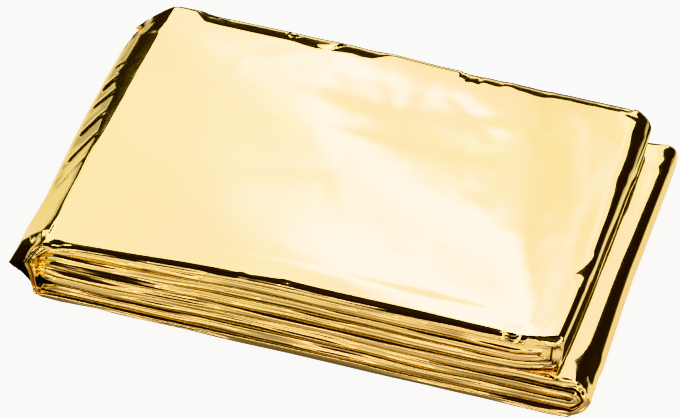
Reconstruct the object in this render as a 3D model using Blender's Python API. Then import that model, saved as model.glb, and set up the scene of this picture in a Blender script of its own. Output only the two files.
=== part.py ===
"""Emergency foil blanket, folded flat: one metallised film sheet.

The sheet is folded back and forth into a narrow strip. The strip's two ends are
folded in until they meet, and the strip is then doubled over at its middle. Each
solid layer here stands for several films that lie pressed together.
X runs along the packet, +Y to its back, +Z up, with the origin at the middle of
its underside.
"""

import math

import bmesh
import bpy

MM = 0.001

# Driving sizes, in millimetres
LAYER = 1.0             # thickness of one modelled layer
GAP = 0.3               # air left between two layers
DEPTH = 97.5            # from the front folds to the back fold
LOWER_END = 73.0        # right end of the lower half of the packet
UPPER_END = 65.6        # right end of the upper half, set back to leave a ledge
WRAP_END = -72.2        # left end, where the strip is doubled over
WRAP_X = -61.9          # where the wrap's two creases start to fall away
WRAP_SLOPE = 40.0       # how steeply the wrap falls from each crease, in degrees
WRAP_CREASE = 5.3       # outer radius of those two creases
LOWER_FREE_END = -61.3  # cut end of the strip inside the lower half
UPPER_FREE_END = -60.8  # cut end of the strip inside the upper half

# Fineness of the faceted surfaces
FRONT_FOLD_STEPS = 4
INNER_FOLD_STEPS = 2
BACK_FOLD_STEPS = 6
BACK_INNER_STEPS = 4
END_TURN_STEPS = 6
WRAP_CREASE_STEPS = 3
WRAP_SLOPE_STEPS = 2
WRAP_NOSE_STEPS = 6
LEG_STEPS = 8
CREASE_LINES = (-0.45, -0.38, -0.18, 0.06, 0.29)   # rows across each layer, as parts of DEPTH

# Sizes that follow
PITCH = LAYER + GAP
STRIP = 4 * LAYER + 3 * GAP
STRIP_PITCH = STRIP + GAP
HEIGHT = 4 * STRIP + 3 * GAP
MIDDLE = HEIGHT / 2
FRONT_FOLD_Y = -DEPTH / 2 + PITCH / 2 + LAYER / 2
BACK_FOLD_Y = DEPTH / 2 - STRIP / 2
TURN_OUTER = STRIP_PITCH / 2 + STRIP / 2
SLOPE_SINE = math.sin(math.radians(WRAP_SLOPE))
SLOPE_COSINE = math.cos(math.radians(WRAP_SLOPE))
SLOPE_RISE = MIDDLE - WRAP_CREASE * (1 - SLOPE_COSINE)
SLOPE_REACH = WRAP_X - WRAP_END - WRAP_CREASE * SLOPE_SINE
WRAP_NOSE = (SLOPE_RISE * SLOPE_COSINE - SLOPE_REACH * SLOPE_SINE) / (1 - SLOPE_SINE)
SLOPE_LENGTH = (SLOPE_REACH - WRAP_NOSE * (1 - SLOPE_SINE)) / SLOPE_COSINE
LOWER_TURN_X = LOWER_END - TURN_OUTER
UPPER_TURN_X = UPPER_END - TURN_OUTER

# How far each front fold stands back from the foremost one, at three places
# name, at the left, in the middle, at the right
FRONT_FOLDS = (
    ("lowest", 0.2, 0.0, 0.1),
    ("second", 0.7, 0.4, 0.5),
    ("third", 0.4, 0.8, 0.2),
    ("fourth", 0.9, 0.3, 0.8),
    ("fifth", 1.3, 0.9, 1.1),
    ("sixth", 0.8, 1.2, 0.7),
    ("seventh", 1.7, 1.0, 1.6),
    ("top", 1.6, 1.3, 1.9),
)

# Corners that are drawn in when the strip is turned over
# end, side, reach from the end, reach from the side, how far the side comes in
CORNERS = (
    ("left", "back", 11.0, 20.0, 6.5),
    ("left", "front", 11.0, 13.0, 1.4),
    ("right", "back", 12.0, 13.0, 3.2),
    ("right", "front", 12.0, 12.0, 4.2),
)

# Broad shallow waves that the top half shows
# height, length from crest to crest, direction in degrees from X, shift
WAVES = (
    (0.28, 46.0, 62.0, 0.15),
    (0.20, 71.0, 28.0, 0.60),
)

TIP_DROP = 3.0          # how far the front of the wrap is pinched down
TIP_REACH = 22.0        # length of the pinched stretch, from the front
TIP_OUT = 1.6           # how far the pinched tip stands out to the left
CROWN = 0.02            # rise of the middle, as a part of the height
LEFT_PRESS = 0.03       # how much flatter the left end is, as a part of the height
SKEW = 2.0              # how far the lower right end draws back at the front
BOW = 1.2               # how far the upper right end draws back at its corners


def smooth(value):
    """Ease from 0 to 1 while the value goes from 0 to 1."""
    t = min(max(value, 0.0), 1.0)
    return t * t * (3 - 2 * t)


def arc(centre_y, centre_s, radius, start, end, steps):
    """Points on an arc in the section, from one angle in degrees to another."""
    points = []
    for i in range(steps + 1):
        angle = math.radians(start + (end - start) * i / steps)
        points.append((centre_y + radius * math.cos(angle), centre_s + radius * math.sin(angle)))
    return points


def row(level, towards_back):
    """The crease lines of one face of a layer, in the order walked."""
    stations = [part * DEPTH for part in CREASE_LINES]
    if not towards_back:
        stations.reverse()
    return [(y, level) for y in stations]


def layer_section():
    """Outline of the strip's section: four layers of one sheet, as (y, s) points.

    s is the height over the middle of the strip, towards the layer that ends up
    on the outside. Two layers are joined by each front fold, and the outer two by
    one back fold that hides the sheet's cut edges.
    """
    outer = 1.5 * PITCH
    inner = 0.5 * PITCH
    half = LAYER / 2
    fold = PITCH / 2
    outline = []
    # outside: front fold, outer layer, back fold, outer layer, front fold
    outline += arc(FRONT_FOLD_Y, PITCH, fold + half, 270, 90, FRONT_FOLD_STEPS)
    outline += row(outer + half, True)
    outline += arc(BACK_FOLD_Y, 0.0, outer + half, 90, -90, BACK_FOLD_STEPS)
    outline += row(-outer - half, False)
    outline += arc(FRONT_FOLD_Y, -PITCH, fold + half, 270, 90, FRONT_FOLD_STEPS)
    # lower inner layer: its outer face, its cut edge, and back inside the fold
    outline += row(-inner + half, True)
    outline += [(BACK_FOLD_Y - 2 * LAYER, -inner + half), (BACK_FOLD_Y - 2 * LAYER, -inner - half)]
    outline += row(-inner - half, False)
    outline += arc(FRONT_FOLD_Y, -PITCH, fold - half, 90, 270, INNER_FOLD_STEPS)
    outline += row(-outer + half, True)
    outline += arc(BACK_FOLD_Y, 0.0, outer - half, -90, 90, BACK_INNER_STEPS)
    outline += row(outer - half, False)
    outline += arc(FRONT_FOLD_Y, PITCH, fold - half, 90, 270, INNER_FOLD_STEPS)
    # upper inner layer: inside the fold, its cut edge, and its outer face
    outline += row(inner + half, True)
    outline += [(BACK_FOLD_Y - LAYER, inner + half), (BACK_FOLD_Y - LAYER, inner - half)]
    outline += row(inner - half, False)
    return outline


def run_leg(bm, face, x_from, x_to):
    """Carry the section straight along X."""
    step = (x_to - x_from) / LEG_STEPS
    return spin(bm, face, (0.0, 0.0, 0.0), 0.0, LEG_STEPS, (step * MM, 0.0, 0.0))


def climb_slope(bm, face, side):
    """Carry the section up a slope of the wrap: -1 out to the nose, 1 back from it."""
    step = SLOPE_LENGTH / WRAP_SLOPE_STEPS * MM
    shift = (side * SLOPE_COSINE * step, 0.0, SLOPE_SINE * step)
    return spin(bm, face, (0.0, 0.0, 0.0), 0.0, WRAP_SLOPE_STEPS, shift)


def turn_over(bm, face, x, z, angle, steps):
    """Carry the section round a fold whose axis lies along Y at (x, z)."""
    return spin(bm, face, (x * MM, 0.0, z * MM), math.radians(angle), steps, (0.0, 0.0, 0.0))


def spin(bm, face, centre, angle, steps, shift):
    """Extrude the face in steps, turning and shifting it, and return the last one."""
    inside = len(bm.faces) > 1
    result = bmesh.ops.spin(
        bm, geom=[face], cent=centre, axis=(0.0, 1.0, 0.0), dvec=shift,
        angle=angle, steps=steps, use_merge=False, use_duplicate=False,
    )
    if inside:
        bmesh.ops.delete(bm, geom=[face], context="FACES_ONLY")
    return [item for item in result["geom_last"] if isinstance(item, bmesh.types.BMFace)][0]


def sweep_strip():
    """The whole folded sheet, before it settles: the section carried round its folds."""
    bm = bmesh.new()
    first_middle = STRIP / 2
    second_middle = first_middle + STRIP_PITCH
    verts = []
    for y, s in layer_section():
        verts.append(bm.verts.new((LOWER_FREE_END * MM, y * MM, (second_middle + s) * MM)))
    face = bm.faces.new(verts)
    lower_axis = first_middle + STRIP_PITCH / 2
    upper_axis = lower_axis + 2 * STRIP_PITCH
    face = run_leg(bm, face, LOWER_FREE_END, LOWER_TURN_X)
    face = turn_over(bm, face, LOWER_TURN_X, lower_axis, 180, END_TURN_STEPS)
    face = run_leg(bm, face, LOWER_TURN_X, WRAP_X)
    nose_angle = 180 - 2 * WRAP_SLOPE
    face = turn_over(bm, face, WRAP_X, WRAP_CREASE, WRAP_SLOPE, WRAP_CREASE_STEPS)
    face = climb_slope(bm, face, -1)
    face = turn_over(bm, face, WRAP_END + WRAP_NOSE, MIDDLE, nose_angle, WRAP_NOSE_STEPS)
    face = climb_slope(bm, face, 1)
    face = turn_over(bm, face, WRAP_X, HEIGHT - WRAP_CREASE, WRAP_SLOPE, WRAP_CREASE_STEPS)
    face = run_leg(bm, face, WRAP_X, UPPER_TURN_X)
    face = turn_over(bm, face, UPPER_TURN_X, upper_axis, 180, END_TURN_STEPS)
    run_leg(bm, face, UPPER_TURN_X, UPPER_FREE_END)
    return bm


def fold_setback(x, z):
    """How far the front stands back at a place along the packet and a height."""
    rank = min(max(z / PITCH / 2 - 0.5, 0.0), len(FRONT_FOLDS) - 1.0)
    low = min(int(rank), len(FRONT_FOLDS) - 2)
    part = smooth(rank - low)
    along = (x - WRAP_END) / (LOWER_END - WRAP_END) * 2
    first = min(int(along), 1)
    share = smooth(along - first)
    values = []
    for name, left, middle, right in FRONT_FOLDS[low:low + 2]:
        stations = (left, middle, right)
        values.append(stations[first] * (1 - share) + stations[first + 1] * share)
    return values[0] * (1 - part) + values[1] * part


def corner_draw(x, y, z):
    """How far a point near a corner is drawn in towards the middle of the depth."""
    right_end = UPPER_END if z > MIDDLE else LOWER_END
    draw = 0.0
    for end, side, end_reach, side_reach, cut in CORNERS:
        from_end = right_end - x if end == "right" else x - WRAP_END
        from_side = DEPTH / 2 - y if side == "back" else DEPTH / 2 + y
        amount = cut * smooth(1 - from_end / end_reach) * smooth(1 - from_side / side_reach)
        draw += -amount if side == "back" else amount
    return draw


def wave_rise(x, y, z):
    """Rise of the broad waves at a point; they fade out towards the underside."""
    rise = 0.0
    for height, length, direction, shift in WAVES:
        angle = math.radians(direction)
        run = x * math.cos(angle) + y * math.sin(angle)
        rise += height * math.sin(2 * math.pi * (run / length + shift))
    inside = smooth((DEPTH / 2 - abs(y)) / 15.0)
    return rise * inside * smooth(2 * z / HEIGHT - 1)


def settle(x, y, z):
    """Move a point of the regular folds to where it lies in the soft packet."""
    front = smooth((-y - DEPTH / 6) / (DEPTH / 3))
    across = 2 * y / DEPTH
    along = (x - WRAP_END) / (LOWER_END - WRAP_END)
    in_wrap = smooth((WRAP_X - x) / (WRAP_X - WRAP_END))
    near_tip = smooth((TIP_REACH - DEPTH / 2 - y) / TIP_REACH)
    new_y = y + fold_setback(x, z) * front + corner_draw(x, y, z)
    right = smooth((x - UPPER_TURN_X / 2) / (UPPER_END - UPPER_TURN_X / 2))
    drawn = SKEW * smooth(-across) if z < MIDDLE else BOW * across * across
    new_x = x - drawn * right - TIP_OUT * in_wrap * near_tip
    rise = CROWN * (1 - across * across) * 4 * along * (1 - along)
    new_z = z * (1 + rise - LEFT_PRESS * smooth(1 - 2 * along))
    new_z -= TIP_DROP * in_wrap * near_tip * math.sin(math.pi * z / HEIGHT)
    new_z += wave_rise(x, y, z) * (1 - in_wrap) * (1 - right)
    return new_x, new_y, new_z


def settle_packet(bm):
    """Settle every point, then put the origin at the middle of the underside."""
    for vert in bm.verts:
        x, y, z = (value / MM for value in vert.co)
        vert.co = [value * MM for value in settle(x, y, z)]
    xs = [vert.co.x for vert in bm.verts]
    ys = [vert.co.y for vert in bm.verts]
    middle_x = (min(xs) + max(xs)) / 2
    middle_y = (min(ys) + max(ys)) / 2
    bmesh.ops.translate(bm, verts=bm.verts, vec=(-middle_x, -middle_y, 0.0))


def gold_film():
    """Gold-lacquered aluminised polyester film."""
    material = bpy.data.materials.new("gold_film")
    material.use_nodes = True
    shader = material.node_tree.nodes["Principled BSDF"]
    shader.inputs["Base Color"].default_value = (0.86, 0.63, 0.24, 1.0)
    shader.inputs["Roughness"].default_value = 0.12
    shader.inputs["Metallic"].default_value = 1.0
    return material


def foil_sheet(collection):
    """The folded sheet, one solid."""
    bm = sweep_strip()
    settle_packet(bm)
    bmesh.ops.triangulate(bm, faces=bm.faces, quad_method="BEAUTY", ngon_method="BEAUTY")
    bmesh.ops.recalc_face_normals(bm, faces=bm.faces)
    mesh = bpy.data.meshes.new("foil_sheet")
    bm.to_mesh(mesh)
    bm.free()
    mesh.shade_smooth()
    mesh.set_sharp_from_angle(angle=math.radians(40))
    mesh.materials.append(gold_film())
    sheet = bpy.data.objects.new("foil_sheet", mesh)
    collection.objects.link(sheet)
    return sheet


def main():
    """Clear the scene and build the blanket."""
    for old in list(bpy.data.objects):
        bpy.data.objects.remove(old, do_unlink=True)
    collection = bpy.data.collections.new("emergency_foil_blanket")
    bpy.context.scene.collection.children.link(collection)
    foil_sheet(collection)


main()
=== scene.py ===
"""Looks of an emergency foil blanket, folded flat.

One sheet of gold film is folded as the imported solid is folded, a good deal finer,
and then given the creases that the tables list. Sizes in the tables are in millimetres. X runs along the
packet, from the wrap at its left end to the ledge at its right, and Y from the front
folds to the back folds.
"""

import math

import bmesh
import bpy
import numpy as np
from bpy.props import FloatProperty, FloatVectorProperty, PointerProperty
from mathutils import Matrix, Vector
from mathutils.geometry import delaunay_2d_cdt


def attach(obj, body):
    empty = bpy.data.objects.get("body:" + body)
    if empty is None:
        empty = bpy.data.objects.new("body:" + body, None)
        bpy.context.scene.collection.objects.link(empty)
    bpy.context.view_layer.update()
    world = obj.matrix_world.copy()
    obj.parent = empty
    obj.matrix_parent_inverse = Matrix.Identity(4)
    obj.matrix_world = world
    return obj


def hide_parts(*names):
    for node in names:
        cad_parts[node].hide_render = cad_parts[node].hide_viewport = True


bl_info = {
    "name": "Folded Foil Blanket",
    "version": (1, 0, 0),
    "blender": (4, 5, 0),
    "location": "3D View > Sidebar > Foil Blanket",
    "description": "Folds one sheet of gold film into a flat packet and lights it",
    "category": "Add Mesh",
}

MM = 0.001
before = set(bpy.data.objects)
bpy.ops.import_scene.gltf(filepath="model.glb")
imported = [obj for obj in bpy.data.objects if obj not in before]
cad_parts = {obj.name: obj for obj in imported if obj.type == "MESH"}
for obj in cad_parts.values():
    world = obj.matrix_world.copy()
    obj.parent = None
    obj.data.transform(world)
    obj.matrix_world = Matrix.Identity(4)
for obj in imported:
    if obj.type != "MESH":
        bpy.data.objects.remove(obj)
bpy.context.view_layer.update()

# The regular folds, as the solid has them before it settles
LAYER = 1.0                           # thickness of one layer of the solid
GAP = 0.3                             # air between two layers
DEPTH = 97.5                          # from the front folds to the back folds
LOWER_END = 73.0                      # right end of the packet's lower half
UPPER_END = 65.6                      # right end of its upper half
WRAP_END = -72.2                      # left end, where the strip is doubled over
WRAP_X = -61.9                        # where the wrap starts to fall away
WRAP_SLOPE = math.radians(40.0)
FREE_END = -65.0                      # the film's cut ends, a little past the solid's

# Sizes that follow
PITCH = LAYER + GAP
STRIP = 4 * LAYER + 3 * GAP
STRIP_PITCH = STRIP + GAP
HEIGHT = 4 * STRIP + 3 * GAP
MIDDLE = HEIGHT / 2
SKIN = STRIP / 2                      # from the strip's middle to its outer film
FRONT_FOLD_Y = -DEPTH / 2 + PITCH / 2 + LAYER / 2
BACK_FOLD_Y = DEPTH / 2 - SKIN
TURN_RADIUS = STRIP_PITCH / 2
TURN_OUTER = TURN_RADIUS + SKIN
LOWER_TURN_X = LOWER_END - TURN_OUTER
UPPER_TURN_X = UPPER_END - TURN_OUTER

# How far each front fold stands back, at the left, in the middle and at the right
FRONT_FOLDS = (
    ("lowest", -0.7, -0.6, -0.2),
    ("second", 0.2, 0.0, 0.3),
    ("third", 0.4, 0.8, 0.2),
    ("fourth", 0.9, 0.3, 0.8),
    ("fifth", 1.3, 0.9, 1.1),
    ("sixth", 0.8, 1.2, 0.7),
    ("seventh", 1.7, 1.0, 1.3),
    ("top", -0.8, 0.2, 0.2),
)

# The drawn-in corners: end, side, reach from the end, reach from the side, and how far
# the side comes in below and above the packet's middle; below 0 it stands out
CORNERS = (
    ("left", "back", 12.0, 18.0, 9.0, 9.0),
    ("left", "front", 11.0, 13.0, 1.4, 1.4),
    ("right", "back", 9.0, 9.0, -1.2, 1.2),
    ("right", "front", 12.0, 12.0, 0.5, 2.2),
)

# Broad waves of the top: height, length from crest to crest, direction in degrees from X,
# shift as a part of the length
WAVES = (
    (0.16, 46.0, 62.0, 0.15),
    (0.12, 71.0, 28.0, 0.60),
)
WAVE_FADE = 15.0                      # how far in from the front and back they are full

TIP_DROP = 3.0                        # how far the wrap's front tip sinks
TIP_OUT = 1.6                         # how far it stands out
TIP_REACH = 22.0                      # how far back from the front both reach
CROWN = 0.02                          # rise of the top's middle, as a part of the height
LEFT_PRESS = 0.14                     # how much thinner the front left is
LEFT_PRESS_Y = (10.0, -45.0)          # where that sets in and is full
LEDGE_TILT = 0.08                     # fall of the ledge for each millimetre to its end
LEDGE_TILT_X = 61.0                   # where the fall starts
LEDGE_TILT_FADE = (0.8, 30.0, 46.0)   # share of it that is lost, between two y

# Radius of the wrap's crease, from front to back: sharp, then opening out
CREASE_Y = (-49.0, -36.0, -27.0, -18.0, -9.0, 0.0, 9.0, 14.0, 20.0, 49.0)
CREASE_RADIUS = (3.4, 3.4, 3.8, 4.6, 5.4, 8.0, 9.0, 12.0, 15.0, 15.0)
CREASE_START = math.radians(12.0)     # the crease's sharp first bend

# How far the wrap's nose stands in from its place, from front to back
NOSE_Y = (-49.0, -40.0, -25.0, -10.0, 5.0, 20.0, 35.0, 49.0)
NOSE_IN = (0.9, 1.1, 1.2, 0.5, -0.1, -0.3, -0.4, 0.2)

# How far the ledge's right end stands in, from front to back; below 0 it stands out
LEDGE_Y = (-49.0, -10.0, 0.0, 10.0, 24.0, 37.0, 49.0)
LEDGE_IN = (1.05, 1.0, 0.85, 0.45, 0.0, -0.4, -0.7)

# The same for the end that lies over it
TOP_Y = (-49.0, -44.0, -34.0, -24.0, -14.0, -4.0, 6.0, 16.0, 22.0, 26.0, 36.0, 49.0)
TOP_IN = (2.4, 2.1, 1.6, 1.16, 0.7, 0.5, 0.0, -0.2, -0.4, -0.8, -0.9, -0.6)

# How far the top's back edge is lifted, from left to right
LIFT_X = (-66.0, -50.0, -16.0, -3.0, 10.0, 30.0, 62.0)
BACK_LIFT = (1.1, 1.3, 1.3, 0.5, -0.3, -0.6, -1.0)
LIFT_Y = (-4.0, 46.0)                 # where the lift sets in and is full

# How square the right-hand rolls are, from front to back: 2 is round
ROLL_Y = (-49.0, -35.0, -24.0, -13.0, -3.0, 7.0, 18.0, 25.0, 34.0, 49.0)
UPPER_ROLL = (8.0, 7.5, 6.5, 6.0, 5.2, 3.6, 2.9, 2.4, 2.0, 1.7)
LOWER_ROLL = (1.5, 1.75, 1.95, 2.1, 2.25, 2.35, 2.4, 2.5, 2.7, 3.0)

# The slanting band along the top's back edge: its width at each x, and how steep it
# starts and ends, as a fall for each millimetre
BACK_X = (
    -66.0, -59.0, -55.6, -52.5, -49.0, -40.0, -28.0, -22.0, -18.6, -12.0, -7.0, -4.0, -2.0, 15.6,
    15.9, 17.0, 17.4, 20.0, 20.8, 21.4, 26.4, 27.4, 31.0, 38.4, 39.2, 57.0, 62.0,
)
BACK_BAND = (
    1.4, 1.4, 2.0, 5.4, 5.8, 5.8, 6.0, 7.2, 7.0, 6.2, 5.8, 3.4, 2.5, 2.5,
    4.6, 3.6, 6.2, 5.0, 6.0, 4.6, 4.6, 3.6, 4.2, 5.4, 4.1, 4.1, 3.4,
)
BACK_TILT = (math.tan(math.radians(8.5)), math.tan(math.radians(15.0)))
BACK_EDGE = 0.35                      # from the band's far side to the solid's back
BACK_RAGGED = (0.3, 1.7, 5)           # how ragged its near side is: height, length, seed
RAGGED_WIDTH = (2.0, 4.0)             # widths of the band where that sets in and is full
SHORTEST_BEND = 0.6                   # the least length of the bend from its start to its end

# The top's bend down to its front edge: its radius at each x, and how steep it ends
FRONT_X = (
    -62.0, -60.4, -60.1, -58.0, -57.7, -47.0, -35.0, -28.0, -18.0, -14.5, -13.0, -11.5, -9.0, -2.0,
    3.0, 10.0, 30.0, 50.0,
)
FRONT_RADIUS = (
    0.35, 0.15, 4.65, 4.25, 1.05, 1.45, 1.45, 1.85, 1.05, 0.65, 0.15, 0.65, 0.95, 2.25,
    1.65, 1.45, 1.95, 0.95,
)
FRONT_TILT = math.radians(28.0)

# How far the top front fold's face leans back for each millimetre up, at each x
LEAN_X = (-60.0, -50.0, -38.0, -22.0, -10.0, 10.0, 30.0, 50.0)
TOP_LEAN = (0.30, 0.40, 0.52, 0.42, 0.30, 0.16, 0.34, 0.30)

# How square that fold is, at each x: 0 is a box and 1 is round
SQUARE_X = (-62.0, -50.0, -15.0, -13.0, -11.0, 20.0, 62.0)
TOP_SQUARE = (0.9, 1.0, 1.0, 0.5, 1.0, 0.9, 0.9)


def smooth(value):
    """Ease from 0 to 1 while the value goes from 0 to 1."""
    t = np.clip(value, 0.0, 1.0)
    return t * t * (3 - 2 * t)


def ramp(value, start, full):
    """Ease from 0 to 1 while the value goes from start to full."""
    return smooth((value - start) / (full - start))


def drift(t, length, seed):
    """A smooth wander between about -1 and 1, a length long, the same on each run."""
    total = 0.0
    for k, (ratio, weight) in enumerate(((1.0, 0.5), (1.93, 0.3), (3.71, 0.2))):
        total = total + weight * np.sin(2 * math.pi * t * ratio / length + seed * (1.7 + 2.3 * k))
    return total


def jagged(t, length, seed):
    """A wander between -1 and 1 in straight lines, the same on each run."""
    rng = np.random.default_rng(seed)
    values = rng.uniform(-1.0, 1.0, 64)
    places = np.cumsum(rng.uniform(0.3, 1.7, 64)) * length - 16 * length
    return np.interp(t, places, values)


END_REACH = 0.09                      # how far spread's close ends reach, as a part of the length


def spread(low, high, count, low_end=1.0, high_end=1.0):
    """Numbers from low to below high, closer together where an end is over 1."""
    t = np.arange(count) / count
    fine = np.linspace(0, 1, 2001)
    density = 1 + (low_end - 1) * np.exp(-fine / END_REACH) + (high_end - 1) * np.exp(-(1 - fine) / END_REACH)
    total = np.concatenate([[0], np.cumsum((density[1:] + density[:-1]) / 2)])
    return low + (high - low) * np.interp(t, total / total[-1], fine)


class Table:
    """Columns of numbers that are filled in row by row."""

    def __init__(self, *names):
        self.names = names
        for name in names:
            setattr(self, name, [])

    def add(self, *values):
        for name, value in zip(self.names, values, strict=True):
            getattr(self, name).append(value)

    def arrays(self):
        for name in self.names:
            setattr(self, name, np.array(getattr(self, name), float))
        return self


# Steps of the coarse grid across the strip; where the film shows they are halved once
# or twice, so places are worked out on a grid that is FINE times finer
FINE = 4
INNER_ROWS = 3                        # each layer inside
FOLD_ROWS = 10                        # round each front fold
OUTER_ROWS = 43                       # the outer layer
BACK_ROWS = 6                         # round the back fold
BACK_SQUARE = 0.7                     # how square the back folds are: 1 is round
FOLD_SPREAD = 1.6                     # over 1, the rows are closer at a fold's middle
TUCK_REACH = 20.0                     # how soon the cut layers spread to their places
INNER_CLOSE = 4.0                     # how much closer the rows inside are at a front fold
OUTER_CLOSE = (3.2, 2.8)              # the same on the outer layer, at its front and its back


def section_rows():
    """Rows of the grid, across the strip from the sheet's one cut edge to the other.

    y and s place the row, turn is its angle round a front fold or -1, fold is 1 for
    the outer front fold and -1 for the inner one, outer is 1 on the outer film.
    """
    rows = Table("y", "s", "turn", "fold", "outer")
    tuck = 0.5 * PITCH
    skin_in = GAP / 2
    inner_count, fold_count, back_count = INNER_ROWS * FINE, FOLD_ROWS * FINE, BACK_ROWS * FINE
    turns = [math.pi / 2 * (1 + math.copysign(abs(t) ** FOLD_SPREAD, t))
             for t in np.linspace(-1, 1, fold_count + 1)]
    for y in spread(BACK_FOLD_Y - LAYER, FRONT_FOLD_Y, inner_count, 1.0, INNER_CLOSE):
        to_tuck = smooth((FRONT_FOLD_Y + TUCK_REACH - y) / TUCK_REACH)
        rows.add(y, tuck + (skin_in - tuck) * to_tuck, -1, 0, 0)
    for turn in turns:
        rows.add(FRONT_FOLD_Y, PITCH, turn, 1, float(turn > math.pi / 2))
    for y in spread(FRONT_FOLD_Y, BACK_FOLD_Y, OUTER_ROWS * FINE, *OUTER_CLOSE)[1:]:
        rows.add(y, SKIN, -1, 0, 1)
    for i in range(back_count + 1):
        angle = math.pi / 2 - math.pi * i / back_count
        out, up = math.cos(angle), math.sin(angle)
        up = math.copysign(abs(up) ** BACK_SQUARE, up)
        rows.add(BACK_FOLD_Y + SKIN * abs(out) ** BACK_SQUARE, SKIN * up, -1, 0, float(i < back_count / 2))
    for y in spread(BACK_FOLD_Y, FRONT_FOLD_Y, inner_count, 1.0, INNER_CLOSE)[1:]:
        rows.add(y, -SKIN, -1, 0, 0)
    for turn in turns:
        rows.add(FRONT_FOLD_Y, -PITCH, turn, -1, 0)
    last = BACK_FOLD_Y - 2 * LAYER
    for y in [*spread(FRONT_FOLD_Y, last, inner_count, INNER_CLOSE, 1.0)[1:], last]:
        to_tuck = smooth((y - FRONT_FOLD_Y) / TUCK_REACH)
        rows.add(y, -skin_in - (tuck - skin_in) * to_tuck, -1, 0, 0)
    return rows.arrays()


# Stretches along the strip, from one cut end to the other, and the coarse grid's steps on each
INNER_LOW, TURN_LOW, UNDER, WRAP, TOP, TURN_HIGH, INNER_HIGH = range(7)
STEPS = {INNER_LOW: 28, TURN_LOW: 9, UNDER: 15, WRAP: 26, TOP: 60, TURN_HIGH: 9, INNER_HIGH: 22}
CLOSE_ENDS = {INNER_LOW: (1.0, 3.2), TOP: (2.2, 2.6)}    # how much closer the steps are at its ends
WRAP_LENGTH = 30.5                    # round the wrap's outer film
TURN_LENGTH = 15.9                    # round the outer film of each right-hand turn

# The run at which each stretch starts and ends: x on the flat, carried on along the outer
# film round a turn or the wrap
RUNS = {
    INNER_LOW: (FREE_END, LOWER_TURN_X),
    TURN_LOW: (LOWER_TURN_X, LOWER_TURN_X + TURN_LENGTH),
    UNDER: (LOWER_TURN_X, WRAP_X),
    WRAP: (WRAP_X - WRAP_LENGTH, WRAP_X),
    TOP: (WRAP_X, UPPER_TURN_X),
    TURN_HIGH: (UPPER_TURN_X, UPPER_TURN_X + TURN_LENGTH),
    INNER_HIGH: (UPPER_TURN_X, FREE_END),
}


def strip_stations():
    """Columns of the grid, along the strip from one of its cut ends to the other.

    kind is the stretch it lies on, part how far along that stretch it is, from 0 to 1,
    run the place on the outer film, level with x, and along the length so far.
    """
    path = Table("kind", "part", "run", "along")
    along = 0.0
    for kind, (start, end) in RUNS.items():
        length = abs(end - start)
        for part in spread(0.0, 1.0, STEPS[kind] * FINE, *CLOSE_ENDS.get(kind, (1.0, 1.0))):
            path.add(kind, part, start + (end - start) * part, along + length * part)
        along += length
    path.add(INNER_HIGH, 1.0, FREE_END, along)
    return path.arrays()


TIGHTEST_BEND = 0.15                  # the least radius of a layer at the wrap's crease
TIGHTEST_SLOPE = 0.3                  # the least length of its slope


def wrap_start(d, radius):
    """Radius of a layer's bend at the wrap's crease, and the x where it starts."""
    bend = np.maximum(radius - d, TIGHTEST_BEND)
    return bend, WRAP_X + (bend - (radius - d)) * math.tan(WRAP_SLOPE / 2)


def wrap_place(part, d, radius):
    """Place in the wrap at a part of its length, a depth d under its outer film.

    The wrap is a crease, a slope, a round nose, a slope and a crease. A layer deeper
    than the crease's radius turns in a tight corner of its own.
    """
    sine, cosine = math.sin(WRAP_SLOPE), math.cos(WRAP_SLOPE)
    first_sine, first_cosine = math.sin(CREASE_START), math.cos(CREASE_START)
    rise = MIDDLE - radius * (first_cosine - cosine)
    reach = WRAP_X - WRAP_END - radius * (sine - first_sine)
    nose = (rise * cosine - reach * sine) / (1 - sine)
    bend, start_x = wrap_start(d, radius)
    from_top = np.minimum(part, 1 - part)
    crease_length = radius * (WRAP_SLOPE - CREASE_START)
    slope_length = np.maximum((reach - nose * (1 - sine)) / cosine, TIGHTEST_SLOPE)
    total = crease_length + slope_length + nose * (math.pi / 2 - WRAP_SLOPE)
    crease_end = crease_length / total / 2
    nose_start = (crease_length + slope_length) / total / 2
    share = np.clip(from_top / crease_end, 0, 1)
    phi = WRAP_SLOPE * share
    crease_x = start_x - bend * np.sin(phi)
    crease_z = HEIGHT - d - bend * (1 - np.cos(phi))
    phi = CREASE_START + (WRAP_SLOPE - CREASE_START) * share
    skin_share = np.clip(1 - d, 0, 1)
    crease_x += skin_share * (WRAP_X - radius * (np.sin(phi) - first_sine) - crease_x)
    crease_z += skin_share * (HEIGHT - d - radius * (first_cosine - np.cos(phi)) - crease_z)
    nose_share = np.clip((from_top - nose_start) / (0.5 - nose_start), 0, 1)
    turn = WRAP_SLOPE + (math.pi / 2 - WRAP_SLOPE) * nose_share
    nose_x = WRAP_END + nose - (nose - d) * np.sin(turn)
    nose_z = MIDDLE + (nose - d) * np.cos(turn)
    slope = np.clip((from_top - crease_end) / (nose_start - crease_end), 0, 1)
    x = crease_x + (nose_x - crease_x) * slope
    z = crease_z + (nose_z - crease_z) * slope
    return x, np.where(part < 0.5, HEIGHT - z, z)


# Where the layers inside start to close up into the wrap, how soon, and to what share
TAPER_X, TAPER_REACH, TAPER_END = -59.0, 6.1, 0.3


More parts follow.
